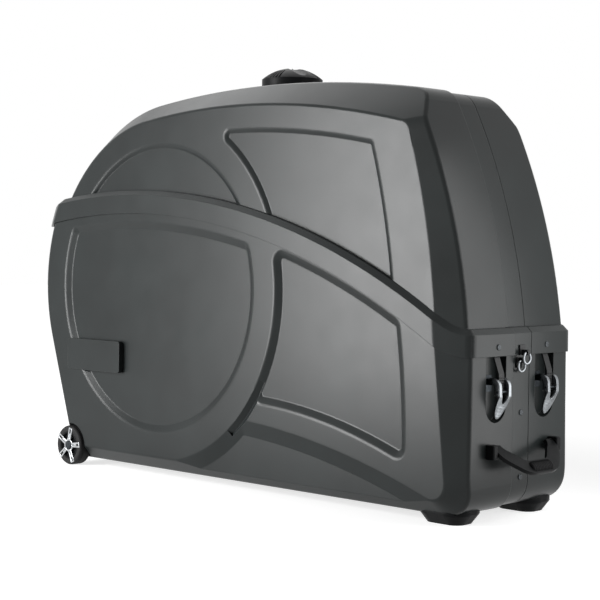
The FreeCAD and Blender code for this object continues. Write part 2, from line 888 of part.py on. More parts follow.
def clamp_pin(grow):
    return rod(Vec(clamp_p(), -latch_y - arm_outer_v - grow, clamp_q), ACROSS, clamp_r + grow,
               2 * (arm_outer_v + grow))


def latch_lever():
    """Over-centre lever: two arms round the strap and one tongue to pull."""
    toe = clamp_p() + clamp_r + toe_wall
    heel = pivot_p - boss_r
    knee_q = clamp_q - knee_drop
    outline = [(heel, pivot_q), (pivot_p, pivot_q + boss_r), (pivot_p + boss_r, pivot_q + boss_r - boss_slope),
               (toe, clamp_q + toe_wall), (toe, knee_q), (toe - tongue_lean / 2, knee_q - arm_low),
               (toe - tongue_lean, knee_q - knee_drop), (heel + boss_slope, pivot_q - knee_drop)]
    arms = [plate(outline, -latch_y + arm_inner_v, -latch_y + arm_outer_v),
            plate(outline, -latch_y - arm_outer_v, -latch_y - arm_inner_v)]
    tip_p = toe - tongue_lean
    tongue_points = [(toe, knee_q), (tip_p, tongue_low_q), (tip_p - tongue_thickness, tongue_low_q),
                     (tip_p - tongue_thickness, tongue_low_q + tongue_thickness),
                     (toe - tongue_root_p, knee_q - tongue_thickness), (toe - tongue_root_p, knee_q)]
    tongue = plate(tongue_points, -latch_y - arm_outer_v, -latch_y + arm_outer_v)
    shoulder_q = knee_q - tongue_thickness
    sides = [(arm_outer_v, clamp_q), (arm_outer_v, shoulder_q), (tongue_tip_v, tongue_low_q)]
    half = [(-v, q) for v, q in sides] + list(reversed(sides))
    wedge = [Vec(-base_front_x, -latch_y + v, q) for v, q in half]
    taper = Part.Face(Part.makePolygon(wedge + wedge[:1])).extrude(ALONG * 2 * base_front_x)
    lever = arms[0].fuse([arms[1], tongue.common(taper)])
    return one_solid(lever.cut([pivot_pin(pin_gap), clamp_pin(0)]).removeSplitter())


def wheel_tyre(y_outer):
    """A rubber tyre with a rounded tread, seated on its hub."""
    centre = Vec(wheel_x, y_outer, wheel_r)
    tyre = rod(centre, ACROSS, wheel_r, wheel_width)
    tyre = tyre.makeFillet(tyre_round, [edge for edge in tyre.Edges if isinstance(edge.Curve, Part.Circle)])
    return tyre.cut(rod(centre, ACROSS, hub_r, wheel_width))


def wheel_hub(y_outer):
    """Spoked hub: a rim band, a disc with a window between each two spokes, and a boss."""
    centre = Vec(wheel_x, y_outer, wheel_r)
    face = centre + ACROSS * hub_face_inset
    rim = rod(centre, ACROSS, hub_r, wheel_width).cut(rod(centre, ACROSS, hub_r - hub_rim, wheel_width))
    disc = rod(face, ACROSS, hub_r, wheel_width / 2)
    windows = []
    for index in range(hub_spokes):
        angle = 90 + 360 / hub_spokes * index
        windows.append(rod(on_circle(face, hub_window_at, angle), ACROSS, hub_window_r, wheel_width))
    boss = rod(centre + ACROSS * hub_setback, ACROSS, 2 * axle_r, wheel_width - 2 * hub_setback)
    bore = rod(centre, ACROSS, axle_r + pin_gap, wheel_width)
    return one_solid(rim.fuse([disc.cut(windows), boss]).cut(bore))


def wheel_axle(y_outer):
    """Axle with a cap outside the hub and a collar inside it, pressed into the housing."""
    well_y = well_inner_y()
    cap_length = axle_cap + hub_setback - seat_gap
    cap = rod(Vec(wheel_x, y_outer - axle_cap, wheel_r), ACROSS, axle_cap_r, cap_length)
    stem = rod(Vec(wheel_x, y_outer, wheel_r), ACROSS, axle_r, well_y + wall + housing_depth - y_outer)
    hub_end = y_outer + wheel_width - hub_setback + seat_gap
    collar = rod(Vec(wheel_x, hub_end, wheel_r), ACROSS, axle_cap_r, well_y - hub_end)
    return one_solid(cap.fuse([stem, collar]).removeSplitter())


def wheel_housing(shell):
    """Boss on the inside of the wheel well that the axle is pressed into."""
    start = Vec(wheel_x, well_inner_y() + wall, wheel_r)
    boss = rod(start, ACROSS, housing_r, housing_depth).cut(rod(start, ACROSS, axle_r, housing_depth))
    return one_solid(boss.cut(shell))


def foot_outline(inset, z):
    """The foot's outline at a height: a rectangle with large round corners."""
    radius = foot_corner_r - inset
    inner_x = foot_length / 2 - foot_corner_r
    inner_y = foot_width / 2 - foot_corner_r
    ends = []
    for turn, (side_x, side_y) in enumerate(((1, 1), (-1, 1), (-1, -1), (1, -1))):
        centre = Vec(foot_x + side_x * inner_x, side_y * inner_y - foot_y, z)
        corner = [FreeCAD.Rotation(UP, 90 * turn + 45 * step).multVec(ALONG) for step in range(3)]
        ends.append([centre + way * radius for way in corner])
    edges = []
    for index, (first, middle, last) in enumerate(ends):
        edges.append(arc(first, middle, last))
        edges.append(line(last, ends[(index + 1) % len(ends)][0]))
    return Part.Wire(edges)


def foot(shell_body):
    """Tapered foot whose top is shaped to the tub's bottom."""
    levels = [foot_outline(foot_taper, 0), foot_outline(0, foot_taper_z), foot_outline(0, foot_height)]
    return one_solid(Part.makeLoft(levels, True, True).cut(shell_body))


def tilted(shape, centre, degrees):
    """Turn a piece about a Y axis so that what hangs down swings out to the front."""
    shape.rotate(centre, ACROSS, -degrees)
    return shape


def lap(side):
    """How far a half shell stands out from the strips: the near one laps over them."""
    return wall + lap_gap if side < 0 else 0.0


def handle_axis(y):
    return Vec(base_front_x + handle_p, y, handle_z)


def handle_pin(side, grow):
    start = handle_axis(side * (handle_y - handle_strap_width))
    return rod(start, ACROSS * side, handle_pin_r + grow, handle_strap_width + block_width - 4)


def handle_block(side):
    """Mounting block that stands on the shell's end and holds the handle's pin."""
    edge_y = handle_y + seat_gap
    y_start, y_end = sorted((side * edge_y, side * (edge_y + block_width)))
    front_x = base_front_x + handle_p + 2 * handle_pin_r
    block = box(base_front_x + lap(side), front_x, y_start, y_end, handle_z - block_height / 2,
                handle_z + block_height / 2)
    rims = [edge for edge in block.Edges if edge.CenterOfMass.x > front_x - 1]
    return block.makeFillet(handle_pin_r, rims).cut(handle_pin(side, 0))


def grip_space(grow):
    """The straight middle of the handle, where the grip sleeve sits."""
    half_thick = grip_thickness / 2 + grow
    half_wide = grip_width / 2 + grow
    middle_z = handle_z - handle_reach
    return box(base_front_x + handle_p - half_thick, base_front_x + handle_p + half_thick, -grip_half_length,
               grip_half_length, middle_z - half_wide, middle_z + half_wide)


def handle_bail():
    """The carry strap: two arms that run in from the pivots to a straight middle."""
    low = -handle_reach
    half = handle_strap_width / 2
    inner = handle_y - handle_strap_width
    far_half = [(grip_half_length, low + half), (inner, half), (handle_y, half), (handle_y, -half),
                (grip_half_length + half, low - half)]
    outline = far_half + [(-y, z) for y, z in reversed(far_half)]
    corners = [Vec(0, y, z) for y, z in outline]
    strap = Part.Face(Part.makePolygon(corners + corners[:1])).extrude(ALONG * handle_thickness)
    strap.translate(Vec(base_front_x + handle_p - handle_thickness / 2, 0, handle_z))
    return tilted(one_solid(strap.cut([handle_pin(side, pin_gap) for side in (-1, 1)])), handle_axis(0),
                  90 - handle_droop)


def handle_grip():
    """Soft sleeve with finger ribs round the middle of the handle."""
    sleeve = grip_space(0)
    sleeve = sleeve.makeFillet(grip_thickness * grip_round_share,
                               [edge for edge in sleeve.Edges
                                if abs(edge.tangentAt(edge.FirstParameter).y) > 0.9])
    pitch = 2 * grip_half_length / (grip_ribs + 1)
    valleys = []
    for index in range(grip_ribs):
        y = -grip_half_length + pitch * (index + 1)
        start = Vec(base_front_x + handle_p + grip_thickness / 2 + pitch / 4, y,
                    handle_z - handle_reach - grip_width)
        valleys.append(rod(start, UP, pitch * grip_valley_share, 2 * grip_width))
    half = handle_strap_width / 2
    middle_x = base_front_x + handle_p
    core = box(middle_x - handle_thickness / 2, middle_x + handle_thickness / 2, -grip_half_length - half,
               grip_half_length + half, handle_z - handle_reach - half, handle_z - handle_reach + half)
    return tilted(one_solid(sleeve.cut(valleys + [core])), handle_axis(0), 90 - handle_droop)


def lock_ring(face_x, reach, y, z):
    """Ring of round wire that hangs from an eye, flat to the front."""
    centre = Vec(face_x + reach, y, z - lock_ring_r)
    return Part.makeTorus(lock_ring_r, ring_wire_r, centre, ALONG)


def lock_eye(face_x, reach, y, z, way):
    """Eye plate with a lug that the ring passes through. It reaches up or down from the lug."""
    half = eye_plate_half
    hole_r = ring_wire_r + eye_gap
    nose_r = hole_r + eye_wall
    z_start, z_end = sorted((z - way * nose_r, z + way * eye_plate_length))
    foot_plate = box(face_x, face_x + eye_plate_thickness, y - half, y + half, z_start, z_end)
    start = Vec(face_x + reach, y - eye_half_width, z)
    lug = box(face_x, face_x + reach, y - eye_half_width, y + eye_half_width, z - nose_r, z + nose_r)
    nose = rod(start, ACROSS, nose_r, 2 * eye_half_width)
    eye = foot_plate.fuse([lug, nose]).removeSplitter()
    return one_solid(eye.cut(rod(start, ACROSS, hole_r, 2 * eye_half_width)))


def badge_plate():
    """Bare plate on the near side, over the ring and the edge of the disc."""
    face_y = -base_half_width - badge_proud
    floor_y = base_recess_depth - base_half_width
    plate_block = box(badge_rear_x, badge_front_x, face_y, floor_y, badge_low_z, badge_top_z)
    corners = [edge for edge in plate_block.Edges if abs(edge.tangentAt(edge.FirstParameter).y) > 0.9]
    return one_solid(plate_block.makeFillet(badge_round, corners).cut(base_tub(lap(-1))))


def lid_forms():
    """The solid outer form of the lid, with its near half proud of the rest."""
    near = lid_body(lap(-1), 0).common(slab(-base_front_x, near_seam_y))
    return [near, lid_body(0, 0), far_side(lid_body(0, 0))]


def stud(grow):
    return rod(Vec(knob_x, 0, stud_low_z), UP, stud_r + grow, knob_plate_top_z - stud_low_z + knob_skirt)


def knob_plate():
    low_z = knob_plate_top_z - knob_plate_depth
    disc = rod(Vec(knob_x, 0, low_z), UP, knob_plate_r, knob_plate_top_z - low_z)
    return one_solid(disc.cut(lid_forms() + [stud(pin_gap)]))


def knob_angle(index):
    return knob_lobe_turn + 360 / knob_lobes * (index + 0.5)


def knob_valley(index):
    """Round hollow between two lobes, which falls from the middle of the knob to its edge."""
    turn = math.radians(knob_angle(index))
    fall = knob_valley_edge - knob_valley_top
    way = Vec(math.cos(turn) * knob_r, math.sin(turn) * knob_r, fall)
    start = Vec(knob_x, 0, knob_plate_top_z + seat_gap + knob_valley_top + knob_valley_r)
    return rod(start, way, knob_valley_r, 2 * knob_r)


def knob():
    """Turn knob: a dome on a short skirt, with hollows that leave its lobes standing."""
    low = Vec(knob_x, 0, knob_plate_top_z + seat_gap)
    rise = knob_height - knob_skirt
    dome_r = (knob_r ** 2 + rise ** 2) / (2 * rise)
    ball = Part.makeSphere(dome_r, low + UP * (knob_height - dome_r))
    dome = rod(low, UP, knob_r, knob_height).common(ball)
    valleys = [knob_valley(index) for index in range(knob_lobes)]
    return one_solid(dome.cut(valleys + [stud(0)]))


def floor_rail():
    """Slotted channel along the floor that the inner pieces bolt to."""
    floor_z = base_bottom_z + wall
    rail = box(rail_rear_x, rail_front_x, -rail_half_width, rail_half_width, floor_z, floor_z + rail_height)
    inside = box(rail_rear_x, rail_front_x, rail_wall - rail_half_width, rail_half_width - rail_wall,
                 floor_z + rail_wall, floor_z + rail_height - rail_wall)
    slot = box(rail_rear_x, rail_front_x, -rail_slot / 2, rail_slot / 2, floor_z + rail_wall,
               floor_z + rail_height)
    return rail.cut([inside, slot])


def rail_top_z():
    return base_bottom_z + wall + rail_height


def pole_top_z():
    return cup_low_z + pole_seat


def support_pole():
    low = Vec(knob_x, 0, rail_top_z())
    length = pole_top_z() - low.z
    return rod(low, UP, pole_r, length).cut(rod(low, UP, pole_r - pole_wall, length))


def pole_socket():
    low = Vec(knob_x, 0, rail_top_z())
    return rod(low, UP, socket_r, socket_height).cut(rod(low, UP, pole_r, socket_height))


def pole_plug():
    """Threaded insert in the top of the pole, which the knob's stud screws into."""
    low = Vec(knob_x, 0, pole_top_z() - plug_length)
    return rod(low, UP, pole_r - pole_wall, plug_length).cut(stud(pin_gap))


def pole_cup():
    """Cup under the lid that seats on the top of the pole."""
    low = Vec(knob_x, 0, cup_low_z)
    cup = rod(low, UP, cup_r, knob_plate_top_z - cup_low_z).common(lid_body(-wall, 0))
    seat = rod(low, UP, pole_r + seat_gap, pole_seat + seat_gap)
    return one_solid(cup.cut([seat, stud(pin_gap)]))


def fork_mount():
    """Stand for the bicycle's fork ends: a foot on the rail, a post and a cross tube."""
    z = rail_top_z()
    half = fork_post / 2
    axis_z = z + fork_height
    foot_block = box(fork_x - fork_post, fork_x + fork_post, -rail_half_width, rail_half_width, z,
                     z + fork_foot_thickness)
    post = box(fork_x - half, fork_x + half, -half, half, z, axis_z)
    tube = rod(Vec(fork_x, -fork_width / 2, axis_z), ACROSS, fork_tube_r, fork_width)
    return one_solid(foot_block.fuse([post, tube]).cut(fork_skewer(0)).removeSplitter())


def skewer_end_y():
    return fork_width / 2 + nut_width + 2 * wall


def fork_skewer(grow):
    start = Vec(fork_x, -skewer_end_y(), rail_top_z() + fork_height)
    return rod(start, ACROSS, skewer_r + grow, 2 * skewer_end_y())


def skewer_nut(side):
    """Thumb nut on the skewer: a hub with two wings."""
    axis_z = rail_top_z() + fork_height
    start_y = side * (fork_width / 2 + wall)
    hub = rod(Vec(fork_x, start_y, axis_z), ACROSS * side, nut_r, nut_width)
    y_start, y_end = sorted((start_y + side * wall, start_y + side * nut_width))
    wings = box(fork_x - 2 * nut_r, fork_x + 2 * nut_r, y_start, y_end, axis_z - wall, axis_z + wall)
    return one_solid(hub.fuse(wings).removeSplitter().cut(fork_skewer(pin_gap)))


def frame_cradle():
    z = rail_top_z()
    half = cradle_length / 2
    block = box(cradle_x - half, cradle_x + half, -rail_half_width, rail_half_width, z, z + cradle_height)
    return block.cut(cradle_groove(cradle_groove_r))


def cradle_groove(radius):
    axis = Vec(cradle_x, -rail_half_width, rail_top_z() + cradle_height)
    return rod(axis, ACROSS, radius, 2 * rail_half_width)


def cradle_pad():
    """Soft liner in the cradle's groove."""
    liner = cradle_groove(cradle_groove_r).cut(cradle_groove(cradle_groove_r - pad_thickness))
    low = box(cradle_x - cradle_length, cradle_x + cradle_length, -rail_half_width, rail_half_width,
              rail_top_z(), rail_top_z() + cradle_height)
    return one_solid(liner.common(low))


def strap_rivet_at(end, side):
    """Where a strap's rivet head sits on the skirt, and the way it faces."""
    shift = lap(side) + skirt_proud
    if end == "front":
        return Vec(base_front_x + shift, side * latch_y, strap_rivet_q), ALONG
    radius = base_rear_r + shift
    turn = 180 - math.degrees(math.asin((strap_rivet_rear_z - ring_z) / radius))
    point = on_circle(ring_centre, radius, turn)
    outward = (point - ring_centre).normalize()
    return point + ACROSS * side * latch_y, outward


def place_latch(shape, end, side):
    placed = at_front(shape, lap(side)) if end == "front" else at_rear(shape, lap(side))
    return placed if side < 0 else far_side(placed)


SIDES = (("near", -1), ("far", 1))
ENDS = ("front", "rear")
nodes = {}

# Half shells and centre strips
near_base = base_shell(lap(-1)).common(slab(-base_front_x, near_seam_y))
plain_base = base_shell(0)
far_base = far_side(plain_base.common(slab(-base_front_x, -far_seam_y - seam_gap)))
near_lid = lid_shell(lap(-1)).common(slab(-base_front_x, near_seam_y))
plain_lid = lid_shell(0)
far_lid = far_side(plain_lid.common(slab(-base_front_x, -far_seam_y - seam_gap)))
base_skin = base_body(-seam_groove_depth, 0)
lid_skins = [lid_body(-seam_groove_depth, 0), base_body(skirt_proud - seam_groove_depth, 0)]
base_strip = centre_strip(plain_base, base_body, below_parting(seat_drop + seat_gap), [base_skin])
lid_strip = centre_strip(plain_lid, lid_body, above_parting(seat_drop), lid_skins)
lid_strip = one_solid(lid_strip.cut(rim_room(lap(-1)).common(slab(-base_front_x, near_seam_y))))
near_lid = near_lid.cut(lid_strip)

# Rivets: along the strips at the front, and one through each latch strap's tab
base_rivet_places = [(Vec(base_front_x, strip_rivet_y, z), ALONG) for z in strip_rivet_heights]
nodes["base_strip_rivets"] = Part.makeCompound([rivet(point, way, wall) for point, way in base_rivet_places])
base_strip = base_strip.cut([rivet_hole(point, way, wall) for point, way in base_rivet_places])
strap_grip = skirt_proud - rim_gap + seat_gap + strap_thickness + rim_gap
strap_rivets = []
for end in ENDS:
    for side_name, side in SIDES:
        point, way = strap_rivet_at(end, side)
        hole = rivet_hole(point, way, strap_grip)
        strap = place_latch(front_strap() if end == "front" else rear_strap(), end, side)
        nodes[end + "_" + side_name + "_latch_strap"] = one_solid(strap.cut(hole))
        strap_rivets.append(rivet(point, way, strap_grip))
        if side < 0:
            near_lid = near_lid.cut(hole)
        else:
            far_lid = far_lid.cut(hole)
nodes["latch_strap_rivets"] = Part.makeCompound(strap_rivets)

nodes["base_near_shell"] = one_solid(near_base)
nodes["base_far_shell"] = one_solid(far_base)
nodes["base_centre_strip"] = one_solid(base_strip)
nodes["lid_near_shell"] = one_solid(near_lid)
nodes["lid_far_shell"] = one_solid(far_lid)
nodes["lid_centre_strip"] = one_solid(lid_strip.cut(stud(pin_gap)))

# Latches
pins = []
for end in ENDS:
    for side_name, side in SIDES:
        name = end + "_" + side_name
        nodes[name + "_latch_bracket"] = place_latch(latch_bracket(), end, side)
        nodes[name + "_latch_lever"] = place_latch(latch_lever(), end, side)
        nodes[name + "_clamp_pin"] = place_latch(clamp_pin(0), end, side)
        pins.append(place_latch(pivot_pin(0), end, side))
nodes["latch_pivot_pins"] = Part.makeCompound(pins)

# Wheels and feet
for side_name, side in SIDES:
    for piece, make in (("tyre", wheel_tyre), ("hub", wheel_hub), ("axle", wheel_axle)):
        shape = make(-wheel_outer_y)
        nodes[side_name + "_wheel_" + piece] = shape if side < 0 else far_side(shape)
    housing = wheel_housing(near_base if side < 0 else plain_base)
    nodes[side_name + "_wheel_housing"] = housing if side < 0 else far_side(housing)
    block = foot(base_body(lap(side), 0))
    nodes[side_name + "_front_foot"] = block if side < 0 else far_side(block)

# Carry handle, padlock rings and plate
for side_name, side in SIDES:
    nodes[side_name + "_handle_block"] = handle_block(side)
nodes["handle_pins"] = Part.makeCompound([handle_pin(side, 0) for side_name, side in SIDES])
nodes["handle_bail"] = handle_bail()
nodes["handle_grip"] = handle_grip()
lid_eye_x = base_front_x + skirt_proud
nodes["base_lock_eye"] = lock_eye(base_front_x, base_eye_reach, base_eye_y, base_eye_z, -1)
nodes["base_lock_ring"] = lock_ring(base_front_x, base_eye_reach, base_eye_y, base_eye_z)
nodes["lid_lock_eye"] = lock_eye(lid_eye_x, lid_eye_reach, lid_eye_y, lid_eye_z, 1)
nodes["lid_lock_ring"] = lock_ring(lid_eye_x, lid_eye_reach, lid_eye_y, lid_eye_z)
nodes["side_plate"] = badge_plate()

# Top knob, pole and floor fittings
nodes["knob_plate"] = knob_plate()
nodes["top_knob"] = knob()
nodes["knob_stud"] = stud(0)
nodes["pole_cup"] = pole_cup()
nodes["support_pole"] = support_pole()
nodes["pole_plug"] = pole_plug()
nodes["pole_socket"] = pole_socket()
nodes["floor_rail"] = floor_rail()
nodes["fork_mount"] = fork_mount()
nodes["fork_skewer"] = fork_skewer(0)
nodes["near_skewer_nut"] = skewer_nut(-1)
nodes["far_skewer_nut"] = skewer_nut(1)
nodes["frame_cradle"] = frame_cradle()
nodes["cradle_pad"] = cradle_pad()

os.makedirs("parts", exist_ok=True)
for name, shape in nodes.items():
    placed = moved(shape, ALONG * -box_middle_x)
    print(name, placed.isValid(), len(placed.Solids), round(placed.Volume))
    placed.exportStep("parts/" + name + ".step")
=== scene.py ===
import json
import math

import bpy
from mathutils import Matrix, Vector


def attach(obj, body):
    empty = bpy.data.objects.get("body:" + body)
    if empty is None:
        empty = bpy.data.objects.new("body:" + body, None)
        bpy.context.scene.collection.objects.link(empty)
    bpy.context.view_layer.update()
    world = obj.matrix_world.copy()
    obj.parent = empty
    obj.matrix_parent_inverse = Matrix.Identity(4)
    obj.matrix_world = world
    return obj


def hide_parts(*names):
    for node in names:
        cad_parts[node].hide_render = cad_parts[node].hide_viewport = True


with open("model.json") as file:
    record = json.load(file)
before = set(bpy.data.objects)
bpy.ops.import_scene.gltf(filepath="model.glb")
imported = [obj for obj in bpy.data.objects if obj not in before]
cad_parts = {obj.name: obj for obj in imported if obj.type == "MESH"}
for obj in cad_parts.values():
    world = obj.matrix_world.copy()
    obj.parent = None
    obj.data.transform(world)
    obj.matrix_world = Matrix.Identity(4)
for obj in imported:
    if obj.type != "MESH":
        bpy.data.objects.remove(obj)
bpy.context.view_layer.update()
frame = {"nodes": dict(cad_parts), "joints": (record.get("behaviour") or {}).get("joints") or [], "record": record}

MM = 0.001
nodes = frame["nodes"]
joint_at = {joint["name"]: joint["pos_m"] for joint in frame["joints"] if "pos_m" in joint}

# Camera: place in metres, turn from the Y axis, downward tilt, roll and focal length, for a square picture
CAMERA_AT = (2.44935, -2.4784, 0.5353)
CAMERA_YAW = math.radians(44.288)
CAMERA_DOWN = math.radians(1.896)
CAMERA_ROLL = math.radians(-0.618)
CAMERA_LENS = 91.655
CAMERA_SENSOR = 36.0
CAMERA_REACH = 50.0

# Studio: light of the room on the case, grey of the paper, and the floor's size in metres
WHITE = (1.0, 1.0, 1.0, 1.0)
ROOM_FILL = 0.12
PAPER = (0.55, 0.55, 0.55, 1.0)
FLOOR_SIZE = 30.0

# Wheels, in millimetres
WHEEL_R = 48.0
WHEEL_WIDTH = 36.0
WHEEL_FACE_Y = 193.0
HUB_R = 34.0
HUB_BORE_R = 8.0
HUB_SET_BACK = 0.5
DISH_DEPTH = 7.0
DISH_WEB = 14.0
DISH_LIP = 3.5
DISH_SLOPE = 3.0
DISH_BACK_SLOPE = 1.0
DISH_ROUND = 0.8
TYRE_SET_BACK = 1.0
TYRE_SHOULDER = 7.0
TYRE_SHOULDER_STEPS = 6
TYRE_GROOVE = 1.2
TYRE_GROOVE_AT = (10.0, 26.0)
SPOKES = 5
SPOKE_TURN = math.radians(78.0)
SPOKE_START = 12.0
SPOKE_END = 44.0
SPOKE_WIDTH = 13.5
SPOKE_ROOT_SHARE = 0.8
SPOKE_THICK = 4.0
SPOKE_PROUD = 1.0
SPOKE_BORDER = 3.6
SPOKE_ROUND = 0.7
SLOT_DEPTH = 2.4
COLLAR_IN_R = 10.6
COLLAR_R = 16.0
COLLAR_ROUND = 0.9

# Latch levers: p runs out from the case's end, v across, q up. Shares run along the lever, from 0 at the top
LEVER_PIVOT = (4.0, 281.0)
ARM_TOP = (6.0, 272.0)
ARM_TURN_R = 17.0
ARM_TURN = math.radians(100.0)
ARM_TURN_SHARE = 0.22
ARM_DEPTH = 13.0
LEVER_KNEE = (23.5, 254.0)
LEVER_KNEE_SHARE = 0.34
LEVER_TIP = (1.0, 208.0)
LEVER_HALF = 18.6
LEVER_CROWN = 1.4
LEVER_CROWN_EASE = 8.0
LEVER_ROUND = 0.9
LEAF_POWER = 2.4
LEAF_ROUND = 0.6
NOTCH_HALF = 11.4
NOTCH_START = 0.18
NOTCH_END = 0.56
TONGUE_SHARE = 0.36
TONGUE_THIN_EASE = 6.0
TONGUE_RIB = 3.0
TONGUE_RIB_RISE = 0.35
TONGUE_RIBBED = (0.4, 0.93)
TONGUE_RIBBED_WIDTH = 0.8

# Carry handle: the strap hangs from its two pivots and leans out to the front
HANDLE_LEAN = math.radians(47.0)
STRAP_PIVOT_Y = 87.5
STRAP_TOP = 10.5
STRAP_KNEE = -5.0
STRAP_MIDDLE_Y = 40.0
STRAP_DROP = -49.0
STRAP_BEND = 17.0
STRAP_WIDTH_TOP = 23.0
STRAP_WIDTH = 31.0
STRAP_WIDEN_RATE = 2.0
STRAP_THICK = 8.0
STRAP_ROUND = 2.6
STRAP_SHARES = (0.0001, 0.9999)
STRAP_LIMITS = (0.00001, 0.99999)
STRAP_LOOK_AHEAD = 0.004
GRIP_HALF = 34.0
GRIP_R = 10.4
GRIP_END_R = 6.0
GRIP_CORE_R = 4.0
GRIP_END_EASE = 12.0
GRIP_STRETCH = 1.25
GRIP_RIBS = 14
GRIP_RIB_RISE = 0.5
GRIP_ROWS_PER_RIB = 12

# Turn knob
KNOB_GAP = 0.3
KNOB_R = 69.0
KNOB_SKIRT = 19.0
KNOB_HEIGHT = 45.0
KNOB_LOBES = 3
KNOB_FIRST = math.radians(97.0)
VALLEY_R = 30.0
VALLEY_TOP = 43.0
VALLEY_EDGE = 22.0
KNURLS = 6
KNURL_PITCH = math.radians(7.2)
KNURL_SHIFT = math.radians(-6.0)
KNURL_DEPTH = 4.0
KNURL_IN = 38.0
KNURL_OUT = 68.6
KNURL_EASE = 4.0
KNURL_STEEP = 4.0
KNURL_LEVEL = 2.2

# Edge rounding of moulded and pressed pieces that keep their own mesh, in millimetres
ROUNDED = {"near_handle_block": 3.0, "far_handle_block": 3.0, "near_front_foot": 1.5, "far_front_foot": 1.5,
           "side_plate": 0.8, "base_lock_eye": 0.6, "lid_lock_eye": 0.6}

# Edges that turn more than this are rounded, and points nearer than these distances are merged
SHARP_TURN = math.radians(40)
MERGE = 0.02 * MM
SEAM_MERGE = 0.03 * MM


def held(value, low=0.0, high=1.0):
    """A value kept between two limits."""
    return min(high, max(low, value))


def linear(hex_code):
    """A colour written as sRGB hex, as linear values for a shader socket."""
    parts = [int(hex_code[i:i + 2], 16) / 255 for i in (0, 2, 4)]
    return tuple(c / 12.92 if c <= 0.04045 else ((c + 0.055) / 1.055) ** 2.4 for c in parts) + (1.0,)


def add(tree, kind, inputs=None, **settings):
    """Add a node with its settings. An input is a value, or (node, socket) to link from."""
    node = tree.nodes.new("ShaderNode" + kind)
    for name, value in settings.items():
        setattr(node, name, value)
    for name, value in (inputs or {}).items():
        if isinstance(value, tuple) and isinstance(value[0], bpy.types.Node):
            tree.links.new(value[0].outputs[value[1]], node.inputs[name])
        else:
            node.inputs[name].default_value = value
    return node


def new_material(name):
    material = bpy.data.materials.new(name)
    material.use_nodes = True
    material.node_tree.nodes.clear()
    return material, material.node_tree


def per_metre(millimetres):
    """Noise scale whose features are about this many millimetres across."""
    return 1.0 / (millimetres * MM)


def finish(name, dark, light, patch, grain, relief, rough, metallic=0.0, stretch=(1.0, 1.0, 1.0),
           edge=0.6, worn=None, gloss=0.5):
    """A procedural finish. Sizes are in millimetres: patch of the slow colour change, grain and its relief.

    The colour drifts from dark to light, the gloss varies between the two roughness values, and edges
    are softened and, where a worn colour is given, rubbed.
    """
    smudge_share = 0.3
    material, tree = new_material(name)
    place = add(tree, "TexCoord")
    drawn = add(tree, "Mapping", {"Vector": (place, "Object"), "Scale": stretch})
    cloud = add(tree, "TexNoise", {"Vector": (place, "Object"), "Scale": per_metre(patch), "Detail": 3.0})
    smudge = add(tree, "TexNoise", {"Vector": (place, "Object"), "Scale": per_metre(patch * smudge_share),
                                    "Detail": 4.0})
    fine = add(tree, "TexNoise", {"Vector": (drawn, "Vector"), "Scale": per_metre(grain), "Detail": 4.0,
                                  "Roughness": 0.6})
    tint = add(tree, "ValToRGB", {"Fac": (cloud, "Fac")})
    tint.color_ramp.elements[0].position = 0.3
    tint.color_ramp.elements[0].color = linear(dark)
    tint.color_ramp.elements[1].position = 0.7
    tint.color_ramp.elements[1].color = linear(light)
    colour = (tint, "Color")
    soft = add(tree, "Bevel", {"Radius": edge * MM}, samples=4)
    if worn:
        flat = add(tree, "NewGeometry")
        turn = add(tree, "VectorMath", {0: (soft, "Normal"), 1: (flat, "Normal")}, operation="DOT_PRODUCT")
        rubbed = add(tree, "MapRange", {"Value": (turn, "Value"), "From Min": 0.97, "From Max": 0.80})
        broken = add(tree, "Math", {0: (rubbed, "Result"), 1: (smudge, "Fac")}, operation="MULTIPLY")
        mixed = add(tree, "MixRGB", {"Fac": (broken, "Value"), "Color1": colour, "Color2": linear(worn)})
        colour = (mixed, "Color")
    both = add(tree, "Math", {0: (smudge, "Fac"), 1: (fine, "Fac")}, operation="ADD")
    shine = add(tree, "MapRange", {"Value": (both, "Value"), "From Min": 0.6, "From Max": 1.4,
                                   "To Min": rough[0], "To Max": rough[1]})
    bump = add(tree, "Bump", {"Height": (fine, "Fac"), "Normal": (soft, "Normal"), "Strength": 0.5,
                              "Distance": relief * MM})
    shader = add(tree, "BsdfPrincipled", {"Base Color": colour, "Roughness": (shine, "Result"),
                                          "Metallic": metallic, "Normal": (bump, "Normal"),
                                          "Specular IOR Level": gloss})
    add(tree, "OutputMaterial", {"Surface": (shader, "BSDF")})
    return material


